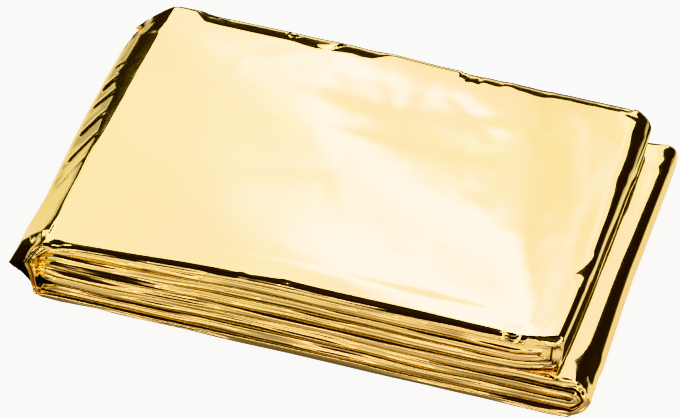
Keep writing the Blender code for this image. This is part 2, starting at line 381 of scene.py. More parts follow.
def regular_place(path, rows, s):
    """Regular x and z of each grid point whose height over the strip's middle is s."""
    x = np.zeros_like(s)
    z = np.zeros_like(s)
    y = rows.y[None, :] + 0 * s
    d = SKIN - s
    part = path.part[:, None] + 0 * s
    radius = np.interp(y, CREASE_Y, CREASE_RADIUS)
    start_x = wrap_start(d, radius)[1]
    wrap_x, wrap_z = wrap_place(part, d, radius)
    low_axis = SKIN + TURN_RADIUS
    high_axis = HEIGHT - low_axis
    theta = math.pi * part
    for kind in range(7):
        on = (path.kind == kind)[:, None] & np.ones_like(s, bool)
        if kind in (TURN_LOW, TURN_HIGH):
            square = np.interp(y, ROLL_Y, LOWER_ROLL if kind == TURN_LOW else UPPER_ROLL)
            factor = (np.abs(np.sin(theta)) ** square + np.abs(np.cos(theta)) ** square) ** (-1 / square)
            reach = (TURN_RADIUS + s) * factor
            turn_x = LOWER_TURN_X if kind == TURN_LOW else UPPER_TURN_X
            axis = low_axis if kind == TURN_LOW else high_axis
            kind_x, kind_z = turn_x + reach * np.sin(theta), axis + reach * np.cos(theta)
        elif kind == WRAP:
            kind_x, kind_z = wrap_x, wrap_z
        else:
            x_from, x_to, level, up = {
                INNER_LOW: (FREE_END, LOWER_TURN_X, SKIN + STRIP_PITCH, 1),
                UNDER: (LOWER_TURN_X, start_x, SKIN, -1),
                TOP: (start_x, UPPER_TURN_X, HEIGHT - SKIN, 1),
                INNER_HIGH: (UPPER_TURN_X, FREE_END, HEIGHT - SKIN - STRIP_PITCH, -1),
            }[kind]
            kind_x, kind_z = x_from + (x_to - x_from) * part, level + up * s
        x = np.where(on, kind_x, x)
        z = np.where(on, kind_z, z)
    inward = np.clip((TAPER_X - x) / TAPER_REACH, 0, 1)
    taper = TAPER_END + (1 - TAPER_END) * np.sqrt(1 - inward ** 2)
    inner = ((path.kind == INNER_LOW) | (path.kind == INNER_HIGH))[:, None]
    z = np.where(inner, MIDDLE + (z - MIDDLE) * taper, z)
    return x, z


# How the front folds change along the strip: middle value, height and length of the
# wander, and what goes onto the fold's seed
UPPER_SQUARE = (0.60, 0.30, 97.0, 0)     # how square their upper corner is: 0 is a box
LOWER_SQUARE = (0.45, 0.25, 109.0, 1)    # how square their lower corner is
FOLD_DEPTH = (0.95, 0.15, 77.0, 2)       # their depth, as a part of half their height
FOLD_LEAN = (0.0, 0.14, 92.0, 3)         # how far they lean back for each millimetre up
GROOVE_PLACE = (0.0, 0.4, 188.0, 4)      # how far up their face the groove is
GROOVE_SHARE = (0.0, 1.6, 97.0, 5)       # how deep it is, below 0 for none
WAVE_PLACE = (0.0, 0.5, 173.0, 6)        # shift of the finer waves, as a part of their length
WAVE_SHARE = (1.0, 0.9, 71.0, 8)         # share of their height
STRONG_LEAN = (-0.5, 2.6, 131.0, 9)      # where they lean back far more, below 0 for nowhere
FOLD_SEEDS = (2.0, 5.3)                  # outer folds, inner folds
SQUARE_RANGE = (0.2, 1.1)             # the squarest and the least square corner
MOST_LEAN = 0.45                      # what the strong lean adds
LEAN_RAGGED = (0.05, 9.0, 11)         # how ragged the lean is: height, length, seed
LEFT_LEAN = (0.14, 0.02)              # more lean at the left: outer folds, inner folds
LEFT_LEAN_X = (-28.0, -46.0)          # where that sets in and is full
GROOVE_DEPTH, GROOVE_WIDTH = 0.30, 0.22
FILM_WAVES = ((0.92, 0.045), (0.55, 0.02))    # length up the fold's face, and height


def wander(along, row, seed):
    """A value that wanders along the strip, from a row of the table above."""
    middle, height, length, more_seed = row
    return middle + height * drift(along, length, seed + more_seed)


def fold_shape(path, rows):
    """Regular y of each grid point, and its height s over the strip's middle.

    Each front fold is a rounded box in section. Its corners, its depth, its lean and a
    shallow groove along its face wander along the strip, each fold in its own way, and
    finer waves stand for the edges of the single films.
    """
    along = path.along[:, None]
    fold = rows.fold[None, :]
    turning = rows.turn[None, :] >= 0
    turn = np.where(turning, rows.turn[None, :], 0.0)
    seed = np.where(fold > 0, *FOLD_SEEDS)
    upward = np.where(np.isin(path.kind, (UNDER, INNER_HIGH)), -1.0, 1.0)[:, None]
    over = -np.cos(turn) * upward > 0
    square_over = wander(along, UPPER_SQUARE, seed)
    square_under = wander(along, LOWER_SQUARE, seed)
    is_top = (path.kind[:, None] == TOP) & (fold > 0) & over
    top_square = np.interp(path.run, SQUARE_X, TOP_SQUARE)
    square = np.where(is_top, top_square[:, None], np.where(over, square_over, square_under))
    square = np.clip(square, *SQUARE_RANGE)
    height = (LAYER + PITCH) / 2
    depth = height * wander(along, FOLD_DEPTH, seed)
    up = -np.sign(np.cos(turn)) * np.abs(np.cos(turn)) ** square * height
    out = np.abs(np.sin(turn)) ** square * depth
    ragged, ragged_length, ragged_seed = LEAN_RAGGED
    lean = wander(along, FOLD_LEAN, seed) + ragged * jagged(along, ragged_length, ragged_seed)
    lean = lean + MOST_LEAN * smooth(wander(along, STRONG_LEAN, seed))
    lean = lean + ramp(path.run[:, None], *LEFT_LEAN_X) * np.where(fold > 0, *LEFT_LEAN)
    front_lean = np.interp(path.run, LEAN_X, TOP_LEAN)[:, None]
    lean = np.where((path.kind[:, None] == TOP) & (fold > 0), front_lean, lean)
    out = out - lean * up * upward * np.sin(turn)
    from_groove = up - wander(along, GROOVE_PLACE, seed)
    groove = GROOVE_DEPTH * smooth(wander(along, GROOVE_SHARE, seed))
    out = out - groove * np.exp(-(from_groove / GROOVE_WIDTH) ** 2) * np.sin(turn)
    for k, (length, wave_height) in enumerate(FILM_WAVES):
        phase = up * upward / length + wander(along, WAVE_PLACE, seed + k)
        waves = wave_height * wander(along, WAVE_SHARE, seed + k) * np.sin(2 * math.pi * phase)
        out = out + waves * np.sin(turn) ** 0.5
    y = np.where(turning, FRONT_FOLD_Y - out, rows.y[None, :] + 0 * along)
    s = np.where(turning, rows.s[None, :] + up, rows.s[None, :] + 0 * along)
    return y, s


def fold_setback(x, z):
    """How far the front stands back at a place along the packet and a height."""
    table = np.array([row[1:] for row in FRONT_FOLDS])
    rank = np.clip(z / PITCH / 2 - 0.5, 0.0, len(FRONT_FOLDS) - 1.0)
    low = np.minimum(rank.astype(int), len(FRONT_FOLDS) - 2)
    part = smooth(rank - low)
    along = (x - WRAP_END) / (LOWER_END - WRAP_END) * 2
    first = np.clip(along.astype(int), 0, 1)
    share = smooth(along - first)
    below = table[low, first] * (1 - share) + table[low, first + 1] * share
    above = table[low + 1, first] * (1 - share) + table[low + 1, first + 1] * share
    return below * (1 - part) + above * part


def corner_draw(x, y, z):
    """How far a point near a corner is drawn in towards the middle of the depth."""
    right_end = np.where(z > MIDDLE, UPPER_END, LOWER_END)
    draw = 0.0
    for end, side, end_reach, side_reach, low_cut, high_cut in CORNERS:
        cut = np.where(z > MIDDLE, high_cut, low_cut)
        from_end = right_end - x if end == "right" else x - WRAP_END
        from_side = DEPTH / 2 - y if side == "back" else DEPTH / 2 + y
        amount = cut * smooth(1 - from_end / end_reach) * smooth(1 - from_side / side_reach)
        draw = draw + (-amount if side == "back" else amount)
    return draw


def wave_rise(x, y, z):
    """Rise of the broad waves at a point; they fade out towards the underside."""
    rise = 0.0
    for height, length, direction, shift in WAVES:
        angle = math.radians(direction)
        run = x * math.cos(angle) + y * math.sin(angle)
        rise = rise + height * np.sin(2 * math.pi * (run / length + shift))
    inside = smooth((DEPTH / 2 - np.abs(y)) / WAVE_FADE)
    return rise * inside * smooth(2 * z / HEIGHT - 1)


FOLD_WANDER = 0.14                    # how far the front folds wander up and down


def settle(x, y, z):
    """Move the regular folds to where they lie in the soft packet."""
    front = ramp(y, -DEPTH / 6, -DEPTH / 2)
    across = 2 * y / DEPTH
    along = (x - WRAP_END) / (LOWER_END - WRAP_END)
    in_wrap = ramp(x, WRAP_X, WRAP_END)
    near_tip = ramp(y, TIP_REACH - DEPTH / 2, -DEPTH / 2)
    new_y = y + fold_setback(x, z) * front + corner_draw(x, y, z)
    right = ramp(x, UPPER_TURN_X / 2, UPPER_END)
    drawn = np.where(z < MIDDLE, np.interp(y, LEDGE_Y, LEDGE_IN), np.interp(y, TOP_Y, TOP_IN))
    new_x = x - drawn * right - TIP_OUT * in_wrap * near_tip
    new_x = new_x + in_wrap * np.interp(y, NOSE_Y, NOSE_IN)
    rise = CROWN * (1 - across * across) * 4 * along * (1 - along)
    lift = np.interp(x, LIFT_X, BACK_LIFT) * ramp(y, *LIFT_Y)
    press = LEFT_PRESS * smooth(1 - 2 * along) * ramp(y, *LEFT_PRESS_Y)
    new_z = z * (1 + rise - press + lift / HEIGHT)
    new_z = new_z - TIP_DROP * in_wrap * near_tip * np.sin(math.pi * z / HEIGHT)
    new_z = new_z + wave_rise(x, y, z) * (1 - in_wrap) * (1 - right)
    wander = FOLD_WANDER * front * np.sin(math.pi * np.clip(z / HEIGHT, 0, 1))
    new_z = new_z + wander * (drift(x, 71.0, 1.3) + 0.5 * drift(x + 2 * z, 23.0, 4.1))
    return new_x, new_y, new_z


# The pinched front end of the wrap, at parts of the way down from its top crease: the
# ear stands out to the left, and the lip closes on the packet in front of it.
# Part of the way, ear x, y, z, lip x, y, z
PINCH = (
    (0.00, -61.6, -44.8, 18.2, -61.8, -48.2, 17.9),
    (0.08, -63.9, -44.8, 17.3, -63.3, -48.2, 17.1),
    (0.20, -67.1, -44.9, 14.8, -65.3, -48.4, 14.3),
    (0.34, -69.4, -44.9, 12.7, -66.3, -48.5, 12.4),
    (0.50, -72.5, -45.8, 5.6, -67.2, -48.3, 10.4),
    (0.66, -70.0, -46.2, 4.0, -65.8, -48.4, 7.2),
    (0.80, -67.2, -46.8, 2.0, -65.2, -48.3, 3.7),
    (0.92, -64.7, -47.2, 0.5, -64.7, -48.2, 1.1),
    (1.00, -61.9, -47.5, 0.0, -63.0, -47.9, 0.1),
)
PINCH_START, EAR_Y, LIP_Y = -36.0, -43.6, -46.6      # regular y where it starts, and of both
PINCH_FADE_X = (-54.0, WRAP_X)                       # where it sets in on the flat and is full
PINCH_BEND = 1.5                                     # how the film bends out to the ear
CLOSE_UP = 0.5                                       # how much closer the ear's layers lie
CLOSE_UP_AT = ((0.0, 0.15, 0.9, 1.0), (0.0, 1.0, 1.0, 0.0))    # share, by part of the way down


def pinch(path, rows, y, points, skin):
    """Draw the wrap's front end together, with all its layers."""
    table = np.array(PINCH)
    down = 1 - path.part
    ear = np.stack([np.interp(down, table[:, 0], table[:, k]) for k in (1, 2, 3)], axis=1)
    lip = np.stack([np.interp(down, table[:, 0], table[:, k]) for k in (4, 5, 6)], axis=1)
    other_layer = np.where(rows.outer > 0, 0.0, np.inf)
    on_ear = np.argmin(np.abs(rows.y - EAR_Y) + other_layer)
    on_lip = np.argmin(np.abs(rows.y - LIP_Y) + other_layer)
    base_y = rows.y[None, :] + 0 * y
    to_ear = np.clip((PINCH_START - base_y) / (PINCH_START - EAR_Y), 0, 1)[:, :, None]
    to_lip = np.clip((EAR_Y - base_y) / (EAR_Y - LIP_Y), 0, 1)[:, :, None]
    ear_move = (ear - skin[:, on_ear])[:, None, :]
    lip_move = (lip - skin[:, on_lip])[:, None, :]
    move = ear_move * to_ear ** PINCH_BEND * (1 - to_lip) + lip_move * to_lip
    press = 1 - CLOSE_UP * to_ear * np.interp(down, *CLOSE_UP_AT)[:, None, None]
    pinched = skin + (points - skin) * press + move
    amount = np.where(path.kind == WRAP, 1.0, 0.0)
    out = points + amount[:, None, None] * (pinched - points)
    fade = ramp(path.run, *PINCH_FADE_X)
    for flat, end_kind, lip_end in ((TOP, TOP, table[0, 4:]), (UNDER, WRAP, table[-1, 4:])):
        end = skin[np.argmax(path.kind == end_kind), on_lip]
        out = out + np.where(path.kind == flat, fade, 0.0)[:, None, None] * ((lip_end - end) * to_lip)
    return out


# Long creases of the top: x and y of one end and of the other, how far it spreads to its
# left and to its right, and its height, below 0 for a trough
TOP_CREASES = (
    (-36.0, -42.0, 45.0, -41.6, 2.2, 5.0, 0.10),
    (-14.0, 10.2, 35.0, 9.6, 3.5, 9.0, 0.08),
    (-37.0, 28.6, 4.0, 25.5, 13.0, 6.0, -0.14),
    (2.0, 25.5, 38.0, 33.0, 9.0, 5.0, -0.08),
    (-52.0, -25.0, -23.0, -16.0, 7.0, 13.0, -0.15),
    (-23.0, -16.0, -3.0, -9.5, 6.0, 14.0, -0.15),
    (36.0, 30.0, 46.0, -14.0, 16.0, 14.0, 0.20),
    (46.0, -14.0, 56.0, -45.0, 14.0, 10.0, 0.18),
    (-39.0, 28.0, -19.0, 42.5, 5.0, 4.0, 0.09),
    (16.0, 36.0, 31.0, 20.5, 5.0, 3.0, -0.08),
    (20.0, -28.0, 33.0, -4.0, 7.0, 5.0, 0.08),
)

# Pleats that slant down the wrap's slope from its crease, in the same way
SLOPE_PLEATS = (
    (-66.6, 18.0, -71.0, 13.2, 1.6, 0.8, 0.40),
    (-65.0, 11.6, -71.2, 6.0, 1.6, 0.8, 0.42),
    (-64.5, 2.6, -70.8, -5.0, 1.6, 0.8, 0.42),
    (-63.5, -6.2, -70.4, -15.4, 1.3, 0.7, 0.36),
    (-67.6, 24.2, -70.6, 21.0, 1.1, 0.7, 0.26),
    (-63.2, -16.0, -69.6, -24.4, 1.0, 0.7, 0.16),
)

# Small flaps of the back edge that don't slant: x and y of their three corners
FLAPS = (
    ((-21.7, 43.3), (-15.8, 46.3), (-18.8, 41.5)),
    ((-30.6, 46.0), (-27.0, 45.6), (-29.5, 44.9)),
)

# Flat facets pressed into the right front corners: stretches, x, y and z of a point on
# the plane, its normal, and how far round the point it reaches
FACETS = (
    ((TOP, TURN_HIGH, INNER_HIGH), (61.4, -46.4, 18.6), (0.30, -0.72, 0.62), 5.0),
    ((TOP, TURN_HIGH, INNER_HIGH), (58.5, -47.3, 17.0), (0.16, -0.97, 0.14), 4.5),
    ((TOP, TURN_HIGH, INNER_HIGH), (59.4, -48.2, 15.5), (0.36, -0.92, 0.10), 9.0),
    ((INNER_LOW, TURN_LOW), (68.4, -47.4, 8.8), (0.42, -0.66, 0.62), 6.0),
)

# Small sharp folds across the top's front and back edges, in the same way
EDGE_PLEATS = (
    (-3.6, -46.2, -1.4, -49.4, 0.45, 0.45, 0.30),
    (-13.8, -46.0, -12.6, -49.6, 0.5, 0.5, 0.25),
    (-57.0, 48.6, -48.0, 46.6, 0.7, 0.8, 0.28),
)

# Dents in the right ends of the top and of the ledge: x and y of the middle, height, then
# x and y of the corners round it
TOP_DENTS = (
    (63.9, -21.6, -0.50, (60.8, -22.8), (64.2, -15.0), (67.6, -20.0), (64.2, -28.0)),
    (64.0, 16.4, -0.25, (62.0, 17.8), (63.6, 20.6), (66.4, 16.0), (63.4, 11.0)),
    (63.6, 37.2, -0.30, (61.4, 36.8), (63.2, 41.0), (66.5, 38.0), (63.0, 33.0)),
    (60.8, 45.0, -0.35, (57.0, 43.8), (61.0, 47.4), (65.0, 46.0), (62.4, 42.0)),
)
LEDGE_DENTS = (
    (72.6, -42.4, -0.90, (65.3, -40.6), (69.4, -33.6), (79.0, -36.0), (79.0, -50.0), (70.4, -51.0)),
    (70.6, 45.0, -0.40, (67.4, 46.6), (70.0, 48.4), (74.5, 44.6), (69.8, 41.0)),
    (70.4, 38.6, -0.25, (67.6, 39.0), (70.0, 41.0), (74.0, 38.4), (69.8, 35.0)),
)

# Crumpled knots in the front folds: stretch, fold (1 outer, -1 inner), x, reach, height
KNOTS = (
    (TOP, 1, 53.5, 3.4, 0.80),
    (TOP, -1, 54.5, 2.6, 0.55),
    (TOP, 1, -13.2, 1.3, 0.22),
    (TOP, -1, -36.5, 2.6, 0.40),
    (INNER_HIGH, 1, -35.0, 2.0, 0.34),
    (UNDER, 1, -47.7, 2.4, 0.50),
    (UNDER, 1, 64.0, 5.0, 0.25),
    (TURN_LOW, 1, 69.5, 3.6, 0.50),
    (TURN_LOW, -1, 68.0, 3.6, 0.50),
    (INNER_LOW, 1, 66.5, 2.4, 0.40),
    (INNER_HIGH, 1, 57.0, 3.0, 0.35),
    (TOP, 1, -58.0, 3.0, 0.30),
)


CREST = 0.12                          # how round a crease's crest is, as a part of its side


def crease_rise(run, y, creases, fade=0.5, reach=4.0):
    """Height of the ridges and troughs of a table over a sheet's flat places.

    Their height goes down over a reach to a share, fade, at their ends.
    """
    rise = np.zeros_like(run)
    for x1, y1, x2, y2, left, right, height in creases:
        dx, dy = x2 - x1, y2 - y1
        length = math.hypot(dx, dy)
        t = ((run - x1) * dx + (y - y1) * dy) / length ** 2
        away = ((y - y1) * dx - (run - x1) * dy) / length
        slope = np.clip(1 - np.where(away > 0, away / left, -away / right), 0, 1)
        crest = slope - CREST * np.exp(-((1 - slope) / CREST))
        ends = smooth(np.minimum(t, 1 - t) * length / reach + fade)
        rise += height * crest * ends
    return rise


def facet(run, y, corners, heights):
    """Height over a flat triangle, and which points are over it."""
    low, high = np.min(corners, axis=0), np.max(corners, axis=0)
    near = (run >= low[0]) & (run <= high[0]) & (y >= low[1]) & (y <= high[1])
    (ax, ay), (bx, by), (cx, cy) = corners
    area = (bx - ax) * (cy - ay) - (cx - ax) * (by - ay)
    px, py = run[near] - ax, y[near] - ay
    wb = (px * (cy - ay) - (cx - ax) * py) / area
    wc = ((bx - ax) * py - px * (by - ay)) / area
    inside = (wb >= 0) & (wc >= 0) & (wb + wc <= 1)
    over = near.copy()
    over[near] = inside
    values = heights[0] * (1 - wb - wc) + heights[1] * wb + heights[2] * wc
    return values[inside], over


STRAY = 0.42                          # how far a crumple's corners stray from a square grid


def crumple(run, y, cell, seed):
    """A relief of flat facets between about -1 and 1, from heights at loose points."""
    rng = np.random.default_rng(seed)
    low = np.array([run.min(), y.min()]) - cell
    high = np.array([run.max(), y.max()]) + cell
    across, deep = (int(n) for n in (high - low) / cell + 1)
    grid = np.stack(np.meshgrid(np.arange(across), np.arange(deep), indexing="ij"), axis=2).reshape(-1, 2)
    corners = low + (grid + rng.uniform(-STRAY, STRAY, grid.shape)) * cell
    heights = rng.uniform(-1.0, 1.0, len(corners))
    result = delaunay_2d_cdt([Vector(corner) for corner in corners], [], [], 0, 1e-5)
    places = np.array([tuple(vert) for vert in result[0]])
    heights = heights[[origin[0] for origin in result[3]]]
    rise = np.zeros(run.shape)
    for triangle in result[2]:
        values, over = facet(run, y, places[triangle], heights[triangle])
        rise[over] = values
    return rise


def dent_rise(run, y, dents):
    """Height of a table's dents: each is a low pyramid, or a pit, of flat facets."""
    rise = np.zeros(run.shape)
    for mid_x, mid_y, height, *ring in dents:
        for near, far in zip(ring, ring[1:] + ring[:1]):
            values, over = facet(run, y, np.array([(mid_x, mid_y), near, far]), (height, 0.0, 0.0))
            rise[over] += values
    return rise


KNOT_CRUMPLE = (1.5, 12)              # size of a knot's facets, and their seed
KNOT_EDGE = 1.6                       # over 1, a knot fades closer to its reach


def knot_rise(path, rows, run, girth):
    """Height of the knots; girth is the distance round a front fold."""
    rise = np.zeros(run.shape)
    crumpled = crumple(run, girth, *KNOT_CRUMPLE)
    for kind, fold, place_x, reach, height in KNOTS:
        on = ((path.kind == kind)[:, None]) & ((rows.fold == fold)[None, :])
        near = smooth(KNOT_EDGE - KNOT_EDGE * np.abs(run - place_x) / reach)
        rise += np.where(on, height * crumpled * near, 0.0)
    return rise


def back_fall(path, rows, run):
    """Drop of the top film in the slanting band along its back edge, below 0."""
    width = np.interp(run, BACK_X, BACK_BAND)
    ragged, length, seed = BACK_RAGGED
    width = width + ragged * jagged(run, length, seed) * ramp(width, *RAGGED_WIDTH)
    start = DEPTH / 2 - BACK_EDGE - width
    beyond = np.clip(rows.y[None, :] - start, 0, None)
    length = np.maximum(BACK_FOLD_Y - start, SHORTEST_BEND)
    first, last = BACK_TILT
    turned = np.where(beyond < length, beyond ** 2 / (2 * length), beyond - length / 2)
    fade = rows.outer * np.clip(rows.s / SKIN, 0, 1) * (rows.turn < 0)
    return -(first * beyond + (last - first) * turned) * fade[None, :] * (path.kind == TOP)[:, None]


def flap_share(run, y):
    """1 over the flaps, where the film lies level past the slanting band's start."""
    share = np.zeros(run.shape)
    for flap in FLAPS:
        share[facet(run, y, np.array(flap), (1.0, 1.0, 1.0))[1]] = 1.0
    return share


def front_fall(path, rows, run):
    """Drop of the top film towards its front edge, below 0; it fades round the fold."""
    radius = np.interp(run, FRONT_X, FRONT_RADIUS)
    steepest = math.tan(FRONT_TILT)
    start = FRONT_FOLD_Y + radius * steepest
    beyond = np.clip(start - rows.y[None, :] + 0 * run, 0, None)
    drop = np.minimum(beyond ** 2 / (2 * radius), radius * steepest ** 2 / 2)
    turn = rows.turn[None, :]
    round_fold = np.where(rows.fold[None, :] > 0, np.clip(-np.cos(turn), 0, 1), 0.0)
    fade = np.where(turn < 0, rows.outer[None, :], round_fold)
    return -drop * fade * (path.kind == TOP)[:, None]


def ledge_fall(path, run, y):
    """Fall of the ledge to its right end, below 0; it fades out round the turn."""
    flat = np.clip(run - LEDGE_TILT_X, 0, None)
    turned = (LOWER_TURN_X - LEDGE_TILT_X) * (1 - smooth(2 * path.part[:, None]))
    lost, fade_from, fade_to = LEDGE_TILT_FADE
    kept = 1 - lost * ramp(y, fade_from, fade_to)
    return -LEDGE_TILT * np.where(path.kind[:, None] == INNER_LOW, flat, turned) * kept


# The crumples, coarse and fine on the top, then on the wrap's slope and on its ear: height,
# size of a facet, seed
COARSE_CRUMPLE = (0.07, 13.0, 3)
FINE_CRUMPLE = (0.016, 4.5, 4)
SLOPE_CRUMPLE = (0.07, 5.0, 6)
EAR_CRUMPLE = (0.12, 3.0, 8)
FOLD_GIRTH = 1.25                     # radius by which a front fold is rolled out flat

# Where the film's creases set in and are full: at the top's ends in x, at its edges in y,
# on the wrap's slope in y, and on its ear in x and in y
TOP_ENDS = ((-61.0, -58.0), (61.0, 56.0))
TOP_EDGES = ((FRONT_FOLD_Y, FRONT_FOLD_Y + 4.0), (BACK_FOLD_Y + 1.0, BACK_FOLD_Y - 2.0))
SLOPE_SIDE = (-44.0, -38.0)
EAR_SIDES = ((-62.5, -64.5), (-40.0, -43.0))
PLEAT_ENDS = (0.0, 2.4)               # share of a slope pleat's height at its ends, and reach


def crumple_rise(run, y, height, cell, seed):
    """Height of a crumple over the film's flat places."""
    return height * crumple(run, y, cell, seed)


def film_rise(path, rows, run, y, skin_x):
    """Height of all creases over the folds; y is the regular one, skin_x the outer film's x."""
    kind, part = path.kind[:, None], path.part[:, None]
    upper = (kind == TOP) | (kind == WRAP) | (kind == TURN_HIGH)
    outer = rows.outer[None, :] * upper
    shown = ((rows.outer > 0) | (rows.fold > 0))[None, :]
    on_film = shown * upper
    ledge = ((kind == INNER_LOW) | (kind == TURN_LOW)) * shown
    fold_girth = np.where((rows.turn >= 0) & (rows.fold > 0), FOLD_GIRTH * (math.pi - rows.turn), 0.0)
    reach_y = y - fold_girth[None, :]
    left, right = (ramp(run, *end) for end in TOP_ENDS)
    front, back = (ramp(y, *edge) for edge in TOP_EDGES)
    on_top = outer * left * right * (front * back)
    rise = crease_rise(run, y, TOP_CREASES) * on_top
    rise = rise + crumple_rise(run, y, *COARSE_CRUMPLE) * on_top
    rise = rise + crumple_rise(run, y, *FINE_CRUMPLE) * on_top
    rise = rise + crease_rise(run, reach_y, EDGE_PLEATS) * on_film
    rise = rise + dent_rise(run, reach_y, TOP_DENTS) * on_film
    rise = rise + (dent_rise(run, reach_y, LEDGE_DENTS) + ledge_fall(path, run, y)) * ledge
    girth = np.where(rows.turn < 0, 0.0, FOLD_GIRTH * rows.turn)[None, :] + 0 * y
    rise = rise + knot_rise(path, rows, run, girth)
    on_slope = outer * ((kind == WRAP) & (part > 0.5)) * ramp(y, *SLOPE_SIDE)
    rise = rise + crease_rise(skin_x, y, SLOPE_PLEATS, *PLEAT_ENDS) * on_slope
    rise = rise + crumple_rise(run, y, *SLOPE_CRUMPLE) * on_slope
    ear_x, ear_y = EAR_SIDES
    at_ear = on_film * ((kind == WRAP) & (rows.turn < 0)) * ramp(y, *ear_y) * ramp(skin_x, *ear_x)
    return rise + crumple_rise(run, reach_y, *EAR_CRUMPLE) * at_ear


CENTRING = 0.4                        # puts the settled film over the solid's middle


def film_points():
    """The film's place, a grid of points in metres, and where the grid is to be finer."""
    rows = section_rows()
    path = strip_stations()
    y, s = fold_shape(path, rows)
    x, z = regular_place(path, rows, s)
    points = np.stack(settle(x, y, z), axis=2)
    skin_x, skin_z = regular_place(path, rows, SKIN + 0 * s)
    skin = np.stack(settle(skin_x, y, skin_z), axis=2)
    points = pinch(path, rows, y, points, skin)
    run = path.run[:, None] + 0 * y
    base_y = rows.y[None, :] + 0 * y
    rise = film_rise(path, rows, run, base_y, skin_x)
    points = points + grid_normals(points) * rise[:, :, None]
    slant = back_fall(path, rows, run) * (1 - flap_share(run, base_y))
    points[:, :, 2] += front_fall(path, rows, run) + slant
    press_facets(points, path, rows)
    points[:, :, 0] += CENTRING
    points[:, :, 2] -= points[:, :, 2].min()
    return points * MM, finer_zones(path, rows)


FACET_BACKING = 0.7                   # how far the layers inside stay behind a pressed facet


def press_facets(points, path, rows):
    """Press the folds' corners flat; the layers inside stay a little behind the outer one."""
    skin = ((rows.outer > 0) | (rows.fold > 0))[None, :]
    for kinds, point, normal, reach in FACETS:
        normal = np.array(normal) / np.linalg.norm(normal)
        away = points - np.array(point)
        over = away @ normal + np.where(skin, 0.0, FACET_BACKING)
        near = (np.linalg.norm(away, axis=2) < reach) & np.isin(path.kind, kinds)[:, None] & (over > 0)
        points[near] -= over[near][:, None] * normal


# The film is in view past this part of the wrap, and past this x of the ledge
WRAP_VIEW, LEDGE_VIEW = 0.35, 58.0

# Places where the grid is halved twice: stretch, run from and to, y from and to, and
# whether that takes in all of the outer front fold
FINE_PLACES = (
    (WRAP, -73.5, -61.9, -22.0, 49.0, False),      # the wrap's slope
    (WRAP, -80.2, -61.9, -49.0, -41.0, True),      # its ear
    (TOP, 50.0, 61.0, -49.0, -46.0, True),         # the top's right front corner
    (TURN_HIGH, 60.0, 65.3, -26.0, -14.0, False),  # the notch in its right end
    (TURN_LOW, 67.0, 72.7, -49.0, -35.0, False),   # the notch in the ledge
    (TOP, -62.0, 30.0, 41.5, 48.4, False),         # the slanting band along the back
)


def finer_zones(path, rows):
    """Where the grid is halved once, and where twice."""
    kind, part, run = path.kind[:, None], path.part[:, None], path.run[:, None]
    y, turning, outer = rows.y[None, :], (rows.turn >= 0)[None, :], (rows.outer > 0)[None, :]
    wrap = (kind == WRAP) & (part > WRAP_VIEW)
    ledge = (kind == TURN_LOW) | ((kind == INNER_LOW) & (run > LEDGE_VIEW))
    once = turning | (outer & (wrap | (kind == TOP) | (kind == TURN_HIGH) | ledge))
    outer_fold = turning & (rows.fold > 0)[None, :]
    twice = np.zeros(once.shape, bool)
    for stretch, run_from, run_to, y_from, y_to, with_fold in FINE_PLACES:
        film = outer | outer_fold if with_fold else outer
        within = (run > run_from) & (run < run_to) & (y > y_from) & (y < y_to)
        twice |= film & within & (kind == stretch)
    return once, twice


def grid_normals(points):
    """Unit normals of a grid of points, out of the folded film's outer face."""
    normal = np.cross(np.gradient(points, axis=0), np.gradient(points, axis=1))
    size = np.linalg.norm(normal, axis=2, keepdims=True)
    return normal / np.maximum(size, 1e-9)


def add_node(tree, kind, settings=None, inputs=None):
    """Add a node, set its settings, and give its inputs values or (node, output) links."""
    node = tree.nodes.new(kind)
    for name, value in (settings or {}).items():
        setattr(node, name, value)
    for name, value in (inputs or {}).items():
        if isinstance(value, tuple) and isinstance(value[0], bpy.types.Node):
            tree.links.new(value[0].outputs[value[1]], node.inputs[name])
        else:
            node.inputs[name].default_value = value
    return node


def linear(hex_colour):
    """An sRGB colour such as "#F7DFA2" as linear values with full alpha."""
    values = []
    for i in (1, 3, 5):
        c = int(hex_colour[i:i + 2], 16) / 255
        values.append(c / 12.92 if c <= 0.04045 else ((c + 0.055) / 1.055) ** 2.4)
    return (*values, 1.0)


TONE_LENGTH = 0.045                   # metres, over which the lacquer's thickness drifts
CRINKLE_LENGTH = 0.006                # metres; real crinkles go down to 1 mm, too fine to show


